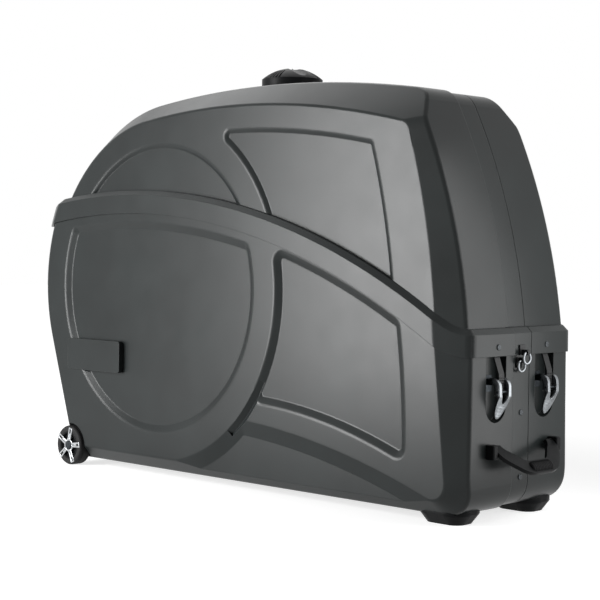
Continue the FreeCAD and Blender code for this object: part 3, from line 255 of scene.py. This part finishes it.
FINISHES = {
    # Thermoformed ABS sheet: charcoal, satin, with a fine press grain and slightly rubbed folds
    "moulded_abs": finish("thermoformed_abs", "191c1c", "1f2323", patch=180.0, grain=2.4, relief=0.02,
                          rough=(0.27, 0.34), edge=2.2, worn="3a3d3d", gloss=0.2),
    # Blind rivets: dull dark steel, a little darker where they were set
    "rivet_steel": finish("rivet_steel", "2c2e30", "45484a", patch=4.0, grain=0.8, relief=0.02,
                          rough=(0.34, 0.5), metallic=1.0),
    # Zinc plate on pressed steel: dull dark grey with a faint spangle, paler on its edges
    "zinc_steel": finish("zinc_plated_steel", "25282b", "363a3d", patch=6.0, grain=1.0, relief=0.02,
                         rough=(0.3, 0.46), metallic=1.0, worn="5c5f62"),
    # Satin zinc casting: soft grey sheen, fine cast grain, edges polished by hands
    "satin_lever": finish("satin_zinc_casting", "6c6f72", "878b8e", patch=14.0, grain=0.7, relief=0.02,
                          rough=(0.24, 0.36), metallic=1.0, worn="c6c9cb", edge=0.8),
    # Black nylon straps: semi-matt, fine moulded grain, greyed ridges
    "strap_nylon": finish("black_strap_nylon", "0f1011", "161718", patch=20.0, grain=0.8, relief=0.02,
                          rough=(0.4, 0.55), edge=0.8, worn="2c2e2f", gloss=0.2),
    # Chrome plate on the padlock rings: a clean grey mirror with faint finger marks
    "chrome_fitting": finish("chrome_plate", "6b6e71", "84878a", patch=10.0, grain=2.0, relief=0.003,
                             rough=(0.05, 0.14), metallic=1.0),
    # Chromed wheel hub: mirror bright, a little hazed by road dust
    "chrome_hub": finish("chromed_hub", "a9acae", "c4c6c8", patch=9.0, grain=2.0, relief=0.004,
                         rough=(0.07, 0.2), metallic=1.0),
    # Tyre rubber: black, matt, with a fine pebble and a dusty bloom
    "tyre_rubber": finish("tyre_rubber", "0f0f10", "1b1b1b", patch=12.0, grain=0.6, relief=0.05,
                          rough=(0.55, 0.75), edge=1.0, worn="262625", gloss=0.2),
    # Grip rubber: black, matt, fine pebble, ribs rubbed a little grey
    "grip_rubber": finish("grip_rubber", "0c0c0d", "131314", patch=15.0, grain=0.6, relief=0.04,
                          rough=(0.5, 0.65), edge=1.0, worn="1e1f1f", gloss=0.07),
    # Black moulded nylon: semi-matt with a fine spark grain
    "black_plastic": finish("black_moulded_nylon", "0a0b0c", "101112", patch=30.0, grain=1.0, relief=0.02,
                            rough=(0.36, 0.48), edge=1.0, worn="1c1e1f", gloss=0.07),
    # Extruded aluminium: mill finish with lines drawn along the case
    "rail_aluminium": finish("extruded_aluminium", "aeb1b4", "c6c9cb", patch=40.0, grain=0.9, relief=0.01,
                             rough=(0.28, 0.42), metallic=1.0, stretch=(0.02, 1.0, 1.0), worn="dddfe0"),
}

# Blackened steel of the padlock eyes: dark and satin, with a little bare metal on its edges
dark_eye = finish("blackened_steel", "131415", "1c1d1e", patch=8.0, grain=1.0, relief=0.02,
                  rough=(0.35, 0.5), edge=0.6, worn="3c3e40", gloss=0.2)


def dress_nodes():
    """Give every CAD piece its finish, and round the edges of the moulded and pressed ones."""
    slot_of = {part["node"]: part["material_slot"] for part in frame["record"]["subparts"]}
    for name, node in nodes.items():
        node.data.materials.clear()
        node.data.materials.append(dark_eye if name.endswith("_lock_eye") else FINISHES[slot_of[name]])
    for name, width in ROUNDED.items():
        soften_node(nodes[name], width)


def soften_node(node, width):
    """Round the sharp edges of a piece that keeps its own mesh."""
    weld = node.modifiers.new("weld", "WELD")
    weld.merge_threshold = MERGE
    rounding = node.modifiers.new("rounding", "BEVEL")
    rounding.width = width * MM
    rounding.segments = 3
    rounding.limit_method = "ANGLE"
    rounding.angle_limit = SHARP_TURN
    rounding.harden_normals = True


def begin(name):
    """Name the object that was just made."""
    piece = bpy.context.object
    piece.name = name
    piece.data.name = name
    return piece


def clear_selection():
    if bpy.context.object and bpy.context.object.mode != "OBJECT":
        bpy.ops.object.mode_set(mode="OBJECT")
    bpy.ops.object.select_all(action="DESELECT")


def shape_points(piece, point_at):
    """Move each point of a piece to the place, in millimetres, that a formula gives for it."""
    for vertex in piece.data.vertices:
        vertex.co = Vector(point_at(vertex.co)) * MM


def merge_points(distance=MERGE, face_out=True):
    """Merge the touching points of the active piece and turn its faces outward."""
    bpy.ops.object.mode_set(mode="EDIT")
    bpy.ops.mesh.select_all(action="SELECT")
    bpy.ops.mesh.remove_doubles(threshold=distance)
    if face_out:
        bpy.ops.mesh.normals_make_consistent(inside=False)
    bpy.ops.object.mode_set(mode="OBJECT")


def worked(piece, kind, **settings):
    """Add a modifier with its settings and apply it."""
    step = piece.modifiers.new(kind, kind)
    for name, value in settings.items():
        setattr(step, name, value)
    bpy.ops.object.modifier_apply(modifier=step.name)


def round_edges(piece, width, segments=3):
    worked(piece, "BEVEL", width=width * MM, segments=segments, limit_method="ANGLE",
           angle_limit=SHARP_TURN, use_clamp_overlap=True)
    bpy.ops.object.shade_smooth_by_angle(angle=math.radians(35))


def give(piece, body, slot, *stands_for):
    """Hand a finished piece its finish, its body and the node that it stands for."""
    piece.data.materials.clear()
    piece.data.materials.append(FINISHES[slot])
    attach(piece, body)
    if stands_for:
        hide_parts(*stands_for)


def copied(piece, name, matrix):
    """A copy with its own mesh, moved by a matrix and turned right side out if it was mirrored."""
    twin = piece.copy()
    twin.data = piece.data.copy()
    twin.name = name
    twin.data.name = name
    twin.data.transform(matrix)
    if matrix.determinant() < 0:
        twin.data.flip_normals()
    bpy.context.scene.collection.objects.link(twin)
    return twin


def turned(name, profile, steps):
    """A closed (radius, y) outline in millimetres, turned about the wheel's axle."""
    clear_selection()
    bpy.ops.mesh.primitive_circle_add(vertices=len(profile), radius=1.0, fill_type="NOTHING")
    piece = begin(name)
    for vertex, (radius, y) in zip(piece.data.vertices, profile):
        vertex.co = Vector((radius, y, 0.0)) * MM
    bpy.ops.object.mode_set(mode="EDIT")
    bpy.ops.mesh.select_all(action="SELECT")
    bpy.ops.mesh.spin(steps=steps, angle=2 * math.pi, center=(0, 0, 0), axis=(0, 1, 0), use_auto_merge=True)
    bpy.ops.object.mode_set(mode="OBJECT")
    merge_points()
    return piece


def wheel_dish():
    """The hub's dark body: a rim with a dished face behind the spokes."""
    rim = HUB_R - DISH_LIP
    back = DISH_DEPTH + DISH_WEB
    profile = [(HUB_R, HUB_SET_BACK), (HUB_R, WHEEL_WIDTH), (rim, WHEEL_WIDTH),
               (rim - DISH_BACK_SLOPE, back), (HUB_BORE_R, back), (HUB_BORE_R, DISH_DEPTH),
               (rim - DISH_SLOPE, DISH_DEPTH), (rim, HUB_SET_BACK)]
    piece = turned("wheel_dish", profile, steps=72)
    round_edges(piece, DISH_ROUND)
    return piece


def wheel_tyre():
    """Rubber tyre with round shoulders and two grooves round its tread."""
    profile = [(HUB_R, TYRE_SET_BACK), (HUB_R, WHEEL_WIDTH - TYRE_SET_BACK)]
    shoulder = []
    for step in range(TYRE_SHOULDER_STEPS + 1):
        turn = math.pi / 2 * step / TYRE_SHOULDER_STEPS
        radius = WHEEL_R - TYRE_SHOULDER * (1 - math.sin(turn))
        shoulder.append((radius, TYRE_SHOULDER * (1 - math.cos(turn))))
    profile += [(radius, WHEEL_WIDTH - inset) for radius, inset in shoulder]
    for y in reversed(TYRE_GROOVE_AT):
        profile += [(WHEEL_R, y + TYRE_GROOVE), (WHEEL_R - TYRE_GROOVE, y), (WHEEL_R, y - TYRE_GROOVE)]
    profile += reversed(shoulder)
    piece = turned("wheel_tyre", profile, steps=96)
    bpy.ops.object.shade_smooth_by_angle(angle=math.radians(30))
    return piece


def wheel_prong():
    """One flat prong of the spider, along X, with a long slot sunk in its face."""
    clear_selection()
    bpy.ops.mesh.primitive_cube_add(size=1.0)
    prong = begin("wheel_prong")
    middle = (SPOKE_START + SPOKE_END) / 2
    shape_points(prong, lambda co: (middle + co.x * (SPOKE_END - SPOKE_START),
                                    SPOKE_THICK / 2 - SPOKE_PROUD + co.y * SPOKE_THICK,
                                    co.z * SPOKE_WIDTH * (1.0 if co.x > 0 else SPOKE_ROOT_SHARE)))
    bpy.ops.object.mode_set(mode="EDIT")
    bpy.ops.mesh.select_all(action="DESELECT")
    bpy.ops.object.mode_set(mode="OBJECT")
    for face in prong.data.polygons:
        face.select = face.normal.y < -0.9
    bpy.ops.object.mode_set(mode="EDIT")
    bpy.ops.mesh.inset(thickness=SPOKE_BORDER * MM)
    bpy.ops.mesh.extrude_region_move(TRANSFORM_OT_translate={"value": (0, SLOT_DEPTH * MM, 0)})
    bpy.ops.object.mode_set(mode="OBJECT")
    round_edges(prong, SPOKE_ROUND)
    return prong


def wheel_spokes():
    """Bright spider: five flat prongs, each with a long slot, on a round collar."""
    ring = [(COLLAR_IN_R, 0.0), (COLLAR_IN_R, DISH_DEPTH), (COLLAR_R, DISH_DEPTH), (COLLAR_R, 0.0)]
    collar = turned("wheel_collar", ring, steps=48)
    round_edges(collar, COLLAR_ROUND)
    prong = wheel_prong()
    pieces = [collar]
    for index in range(SPOKES):
        turn = SPOKE_TURN + 2 * math.pi * index / SPOKES
        pieces.append(copied(prong, "wheel_prong", Matrix.Rotation(-turn, 4, "Y")))
    bpy.data.objects.remove(prong)
    clear_selection()
    for piece in pieces:
        piece.select_set(True)
    bpy.context.view_layer.objects.active = collar
    bpy.ops.object.join()
    return begin("wheel_spokes")


def make_wheels():
    axle_x, _, axle_z = joint_at["near_wheel_spin"]
    axle = Matrix.Translation((axle_x, -WHEEL_FACE_Y * MM, axle_z))
    across = Matrix.Scale(-1.0, 4, Vector((0, 1, 0)))
    parts = ((wheel_tyre(), "tyre", "tyre_rubber", True), (wheel_dish(), "hub", "black_plastic", True),
             (wheel_spokes(), "spokes", "chrome_hub", False))
    for piece, name, slot, stands in parts:
        for side, place in (("near", axle), ("far", across @ axle)):
            twin = copied(piece, side + "_wheel_" + name + "_piece", place)
            nodes_for = (side + "_wheel_" + name,) if stands else ()
            give(twin, side + "_wheel", slot, *nodes_for)
        bpy.data.objects.remove(piece)


def lever_line(share):
    """Point (p, q) of the lever's outer face, and how far down the tongue it is, from 0 to 1."""
    if share < ARM_TURN_SHARE:
        turn = ARM_TURN * (1 - share / ARM_TURN_SHARE)
        return ARM_TOP[0] + ARM_TURN_R * math.cos(turn), ARM_TOP[1] + ARM_TURN_R * math.sin(turn), 0.0
    if share < LEVER_KNEE_SHARE:
        run = (share - ARM_TURN_SHARE) / (LEVER_KNEE_SHARE - ARM_TURN_SHARE)
        start = ARM_TOP[0] + ARM_TURN_R
        return start + (LEVER_KNEE[0] - start) * run, ARM_TOP[1] + (LEVER_KNEE[1] - ARM_TOP[1]) * run, 0.0
    run = (share - LEVER_KNEE_SHARE) / (1 - LEVER_KNEE_SHARE)
    p = LEVER_KNEE[0] + (LEVER_TIP[0] - LEVER_KNEE[0]) * run
    return p, LEVER_KNEE[1] + (LEVER_TIP[1] - LEVER_KNEE[1]) * run, run


def lever_point(co):
    """A grid point on the half lever: x runs from the notch to the outer edge, y from tip to top."""
    out = (co.x + 1) / 2
    share = (1 - co.y) / 2
    p, q, run = lever_line(share)
    half = LEVER_HALF * (1 - run ** LEAF_POWER) ** LEAF_ROUND
    deep = held((share - NOTCH_START) / (NOTCH_END - NOTCH_START))
    notch = NOTCH_HALF * math.sqrt(1 - deep ** 2)
    v = notch + (half - notch) * out
    bulge = LEVER_CROWN * (1 - (v / LEVER_HALF) ** 2) if run > 0 else 0.0
    if TONGUE_RIBBED[0] < run < TONGUE_RIBBED[1] and v < TONGUE_RIBBED_WIDTH * half:
        bulge += TONGUE_RIB_RISE * math.sin(2 * math.pi * q / TONGUE_RIB)
    return p + bulge * min(1.0, run * LEVER_CROWN_EASE), v, q


def make_levers():
    """Cast over-centre lever: two arms, a round notch for the strap and a leaf-shaped tongue."""
    clear_selection()
    bpy.ops.mesh.primitive_grid_add(x_subdivisions=8, y_subdivisions=96, size=2.0)
    lever = begin("latch_lever")
    depth = lever.vertex_groups.new(name="depth")
    for vertex in lever.data.vertices:
        run = lever_line((1 - vertex.co.y) / 2)[2]
        thinned = (1.0 - TONGUE_SHARE) * min(1.0, run * TONGUE_THIN_EASE)
        depth.add([vertex.index], 1.0 - thinned, "REPLACE")
    shape_points(lever, lever_point)
    worked(lever, "MIRROR", use_axis=(False, True, False), use_clip=True, merge_threshold=SEAM_MERGE)
    merge_points(SEAM_MERGE, face_out=False)
    worked(lever, "SOLIDIFY", thickness=ARM_DEPTH * MM, offset=-1.0, vertex_group="depth",
           thickness_vertex_group=0.0, use_even_offset=False)
    lever.vertex_groups.clear()
    round_edges(lever, LEVER_ROUND, segments=2)
    for end, outward in (("front", 1.0), ("rear", -1.0)):
        for side in ("near", "far"):
            name = end + "_" + side
            pivot = Vector((outward * LEVER_PIVOT[0], 0.0, LEVER_PIVOT[1])) * MM
            place = Vector(joint_at[name + "_latch_open"]) - pivot
            matrix = Matrix.Translation(place) @ Matrix.Scale(outward, 4, Vector((1, 0, 0)))
            give(copied(lever, name + "_lever_piece", matrix), name + "_lever", "satin_lever",
                 name + "_latch_lever")
    bpy.data.objects.remove(lever)


def strap_line(share):
    """Point (y, drop) on the middle of the handle's strap, from the near pivot to the far one."""
    side = -1.0 if share < 0.5 else 1.0
    run = 1 - abs(2 * share - 1)
    top = Vector((STRAP_PIVOT_Y, STRAP_TOP))
    knee = Vector((STRAP_PIVOT_Y, STRAP_KNEE))
    turn = Vector((STRAP_MIDDLE_Y, STRAP_DROP))
    middle = Vector((0.0, STRAP_DROP))
    knee_in = knee + (top - knee).normalized() * STRAP_BEND
    knee_out = knee + (turn - knee).normalized() * STRAP_BEND
    turn_in = turn + (knee - turn).normalized() * STRAP_BEND
    turn_out = turn + (middle - turn).normalized() * STRAP_BEND
    legs = [(top, (top + knee_in) / 2, knee_in), (knee_in, knee, knee_out),
            (knee_out, (knee_out + turn_in) / 2, turn_in), (turn_in, turn, turn_out),
            (turn_out, (turn_out + middle) / 2, middle)]
    leg = min(len(legs) - 1, int(run * len(legs)))
    part = run * len(legs) - leg
    start, bend, stop = legs[leg]
    point = start * (1 - part) ** 2 + bend * 2 * part * (1 - part) + stop * part ** 2
    return Vector((side * point.x, point.y))


def leaned(x, y, drop):
    """From the handle's own upright frame to the case, leaned out about the pivots."""
    pivot_x, _, pivot_z = joint_at["handle_swing"]
    return (pivot_x / MM + x * math.cos(HANDLE_LEAN) - drop * math.sin(HANDLE_LEAN), y,
            pivot_z / MM + x * math.sin(HANDLE_LEAN) + drop * math.cos(HANDLE_LEAN))


def strap_point(co):
    """A grid point on the strap's middle sheet: x runs across it, y from the near pivot to the far one."""
    share = held((co.y + 1) / 2, *STRAP_SHARES)
    here = strap_line(share)
    ahead = strap_line(held(share + STRAP_LOOK_AHEAD, *STRAP_LIMITS))
    behind = strap_line(held(share - STRAP_LOOK_AHEAD, *STRAP_LIMITS))
    along = (ahead - behind).normalized()
    across = Vector((-along.y, along.x))
    fall = held((STRAP_TOP - here.y) / (STRAP_TOP - STRAP_DROP) * STRAP_WIDEN_RATE)
    width = STRAP_WIDTH_TOP + (STRAP_WIDTH - STRAP_WIDTH_TOP) * fall
    spot = here + across * width / 2 * co.x
    return leaned(0.0, spot.x, spot.y)


def make_handle():
    """Flat moulded carry strap with round bends, and a soft ribbed sleeve on its middle."""
    clear_selection()
    bpy.ops.mesh.primitive_grid_add(x_subdivisions=4, y_subdivisions=120, size=2.0)
    strap = begin("handle_strap_piece")
    shape_points(strap, strap_point)
    worked(strap, "SOLIDIFY", thickness=STRAP_THICK * MM, offset=0.0)
    merge_points()
    round_edges(strap, STRAP_ROUND)
    give(strap, "handle", "black_plastic", "handle_bail")
    profile = [(GRIP_CORE_R, GRIP_HALF), (GRIP_CORE_R, -GRIP_HALF)]
    rows = GRIP_ROWS_PER_RIB * GRIP_RIBS
    for row in range(rows + 1):
        share = row / rows
        ease = min(1.0, GRIP_END_EASE * min(share, 1 - share)) ** 0.5
        rib = GRIP_RIB_RISE * math.cos(2 * math.pi * GRIP_RIBS * share)
        radius = GRIP_END_R + (GRIP_R - GRIP_END_R - rib) * ease
        profile.append((radius, GRIP_HALF * (2 * share - 1)))
    grip = turned("handle_grip_piece", profile, steps=40)
    bpy.ops.object.shade_smooth_by_angle(angle=math.radians(50))
    shape_points(grip, lambda co: leaned(co.x / MM, co.y / MM, STRAP_DROP + co.z / MM * GRIP_STRETCH))
    give(grip, "handle", "grip_rubber", "handle_grip")


def knob_rise(x, y):
    """Height of the knob's top above its foot: a dome with three valleys and knurled shoulders."""
    radius = min(KNOB_R, math.hypot(x, y))
    rise = KNOB_HEIGHT - KNOB_SKIRT
    dome_r = (KNOB_R ** 2 + rise ** 2) / (2 * rise)
    height = KNOB_HEIGHT - dome_r + math.sqrt(dome_r ** 2 - radius ** 2)
    turn = math.atan2(y, x)
    for lobe in range(KNOB_LOBES):
        valley = KNOB_FIRST + 2 * math.pi * lobe / KNOB_LOBES
        out = x * math.cos(valley) + y * math.sin(valley)
        aside = -x * math.sin(valley) + y * math.cos(valley)
        if out > 0 and abs(aside) < VALLEY_R:
            floor = VALLEY_TOP + (VALLEY_EDGE - VALLEY_TOP) * out / KNOB_R
            height = min(height, floor + VALLEY_R - math.sqrt(VALLEY_R ** 2 - aside ** 2))
        lobe_turn = valley - math.pi / KNOB_LOBES + KNURL_SHIFT
        off = (turn - lobe_turn + math.pi) % (2 * math.pi) - math.pi
        if abs(off) < KNURL_PITCH * KNURLS / 2 and KNURL_IN < radius < KNURL_OUT:
            wave = 0.5 - 0.5 * math.cos(2 * math.pi * (off / KNURL_PITCH + KNURLS / 2))
            cut = held(KNURL_STEEP * wave - KNURL_LEVEL)
            height -= KNURL_DEPTH * cut * min(1.0, (radius - KNURL_IN) / KNURL_EASE)
    return height


def make_knob():
    """Turn knob: dome, three finger valleys, knurled lobes and a plain skirt."""
    clear_selection()
    bpy.ops.mesh.primitive_uv_sphere_add(segments=360, ring_count=112, radius=KNOB_R * MM)
    knob = begin("top_knob_piece")
    bpy.ops.object.mode_set(mode="EDIT")
    bpy.ops.mesh.select_all(action="SELECT")
    bpy.ops.mesh.bisect(plane_co=(0, 0, 0), plane_no=(0, 0, 1), clear_inner=True, use_fill=False)
    bpy.ops.object.mode_set(mode="OBJECT")
    shape_points(knob, lambda co: (co.x / MM, co.y / MM, knob_rise(co.x / MM, co.y / MM)))
    bpy.ops.object.mode_set(mode="EDIT")
    bpy.ops.mesh.select_mode(type="EDGE")
    bpy.ops.mesh.select_all(action="DESELECT")
    bpy.ops.mesh.select_non_manifold()
    bpy.ops.mesh.extrude_region_move(TRANSFORM_OT_translate={"value": (0, 0, 0)})
    bpy.ops.transform.resize(value=(1, 1, 0), center_override=(0, 0, 0))
    bpy.ops.mesh.edge_face_add()
    bpy.ops.mesh.select_mode(type="VERT")
    bpy.ops.object.mode_set(mode="OBJECT")
    merge_points()
    bpy.ops.object.shade_smooth_by_angle(angle=math.radians(40))
    foot = Vector(joint_at["knob_turn"]) + Vector((0.0, 0.0, KNOB_GAP)) * MM
    knob.data.transform(Matrix.Translation(foot))
    give(knob, "knob", "black_plastic", "top_knob")


def look_along(yaw, down, roll):
    """Camera rotation from its turn, downward tilt and roll."""
    ahead = Vector((-math.sin(yaw) * math.cos(down), math.cos(yaw) * math.cos(down), -math.sin(down)))
    right = Vector((math.cos(yaw), math.sin(yaw), 0.0))
    below = ahead.cross(right)
    right_turned = right * math.cos(roll) + below * math.sin(roll)
    below_turned = below * math.cos(roll) - right * math.sin(roll)
    return Matrix((right_turned, -below_turned, -ahead)).transposed()


def make_camera():
    lens = bpy.data.cameras.new("camera")
    lens.sensor_fit = "HORIZONTAL"
    lens.sensor_width = CAMERA_SENSOR
    lens.lens = CAMERA_LENS
    lens.clip_end = CAMERA_REACH
    camera = bpy.data.objects.new("camera", lens)
    facing = look_along(CAMERA_YAW, CAMERA_DOWN, CAMERA_ROLL)
    camera.matrix_world = Matrix.Translation(CAMERA_AT) @ facing.to_4x4()
    bpy.context.scene.collection.objects.link(camera)
    bpy.context.scene.camera = camera


def softbox(name, place, target, width, height, power):
    """A soft rectangular studio light that faces a point, in metres and watts."""
    lamp = bpy.data.lights.new(name, "AREA")
    lamp.shape = "RECTANGLE"
    lamp.size = width
    lamp.size_y = height
    lamp.energy = power
    light = bpy.data.objects.new(name, lamp)
    light.location = place
    light.rotation_euler = (Vector(target) - Vector(place)).to_track_quat("-Z", "Y").to_euler()
    light.visible_camera = False
    bpy.context.scene.collection.objects.link(light)


def shown_white(tree):
    """Mix factor that is 1 for the camera, in reflections and through clear pieces."""
    path = add(tree, "LightPath")
    either = add(tree, "Math", {0: (path, "Is Camera Ray"), 1: (path, "Is Glossy Ray")}, operation="MAXIMUM")
    shown = add(tree, "Math", {0: (either, "Value"), 1: (path, "Is Transmission Ray")}, operation="MAXIMUM")
    return (shown, "Value")


def white_room():
    """White to the eye and in reflections, and dim as a light."""
    world = bpy.data.worlds.new("studio")
    bpy.context.scene.world = world
    world.use_nodes = True
    tree = world.node_tree
    tree.nodes.clear()
    fill = add(tree, "Background", {"Color": WHITE, "Strength": ROOM_FILL})
    white = add(tree, "Background", {"Color": WHITE, "Strength": 1.0})
    mix = add(tree, "MixShader", {0: shown_white(tree), 1: (fill, "Background"), 2: (white, "Background")})
    add(tree, "OutputWorld", {"Surface": (mix, "Shader")})


def make_floor():
    """A white paper floor that keeps the case's soft shadow and runs out to white."""
    clear_selection()
    bpy.ops.mesh.primitive_plane_add(size=FLOOR_SIZE, location=(0, 0, 0))
    floor = begin("floor")
    material, tree = new_material("white_paper_floor")
    place = add(tree, "TexCoord")
    reach = add(tree, "VectorMath", {0: (place, "Object")}, operation="LENGTH")
    glow = add(tree, "MapRange", {"Value": (reach, "Value"), "From Min": 0.8, "From Max": 2.2,
                                  "To Min": 0.72, "To Max": 1.0})
    paper = add(tree, "BsdfDiffuse", {"Color": PAPER})
    white = add(tree, "Emission", {"Color": WHITE, "Strength": (glow, "Result")})
    lit = add(tree, "AddShader", {0: (paper, "BSDF"), 1: (white, "Emission")})
    mix = add(tree, "MixShader", {0: shown_white(tree), 1: (paper, "BSDF"), 2: (lit, "Shader")})
    add(tree, "OutputMaterial", {"Surface": (mix, "Shader")})
    floor.data.materials.append(material)


dress_nodes()
make_wheels()
make_levers()
make_handle()
make_knob()
make_camera()
make_floor()
white_room()
softbox("key", place=(-1.06, -2.15, 0.7), target=(0.24, -0.2, 0.4), width=1.0, height=1.4, power=96.0)
softbox("end", place=(0.97, 0.12, 0.52), target=(0.65, -0.1, 0.47), width=0.45, height=0.97, power=4.4)
softbox("top", place=(-1.11, 0.6, 2.6), target=(-0.01, 0.0, 0.6), width=2.2, height=2.0, power=24.0)
bpy.context.scene.view_settings.view_transform = "Standard"
